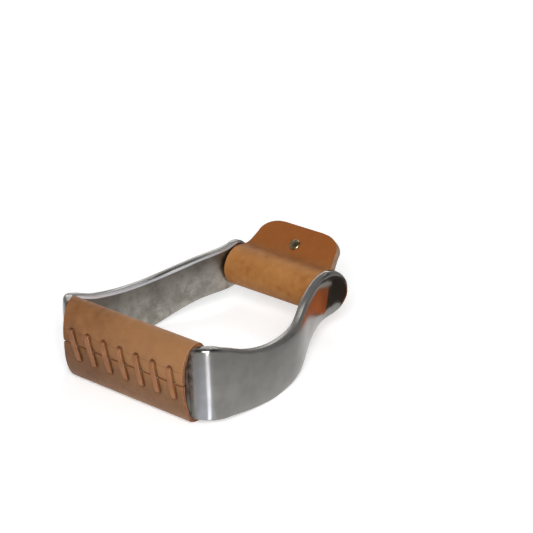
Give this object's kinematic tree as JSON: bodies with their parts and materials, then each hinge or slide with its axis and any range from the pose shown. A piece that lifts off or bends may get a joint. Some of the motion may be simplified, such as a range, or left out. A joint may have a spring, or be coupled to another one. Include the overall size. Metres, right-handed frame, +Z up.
{
  "type": "stirrup",
  "caption": "Cast aluminium western stirrup with a laced leather tread cover and a riveted leather wrap that turns on its neck bar.",
  "frame": {"origin": "middle of the bounding box, on the surface that the stirrup lies on", "axes": "+X along the tread, +Y from the tread to the neck bar, +Z up from the surface it lies on"},
  "size_m": [0.1408, 0.1824, 0.0592],
  "materials": {
    "polished_aluminium": "polished outer faces, satin inner faces",
    "tan_leather": "smooth vegetable-tanned, matte with a slight sheen",
    "lace_leather": "smooth, slightly lighter at its edges",
    "nickel_steel": "nickel plated, bright"
  },
  "bodies": {
    "stirrup": {"cast_frame": "polished_aluminium", "tread_cover": "tan_leather", "tread_lace": "lace_leather"},
    "wrap": {"neck_wrap": "tan_leather", "rivet_post": "nickel_steel", "rivet_cap": "nickel_steel"}
  },
  "joints": [
    {"name": "wrap_swing", "type": "hinge", "parent": "stirrup", "child": "wrap", "pos_m": [0, 0.05996, 0.0324], "axis": [1, 0, 0], "continuous": true}
  ]
}
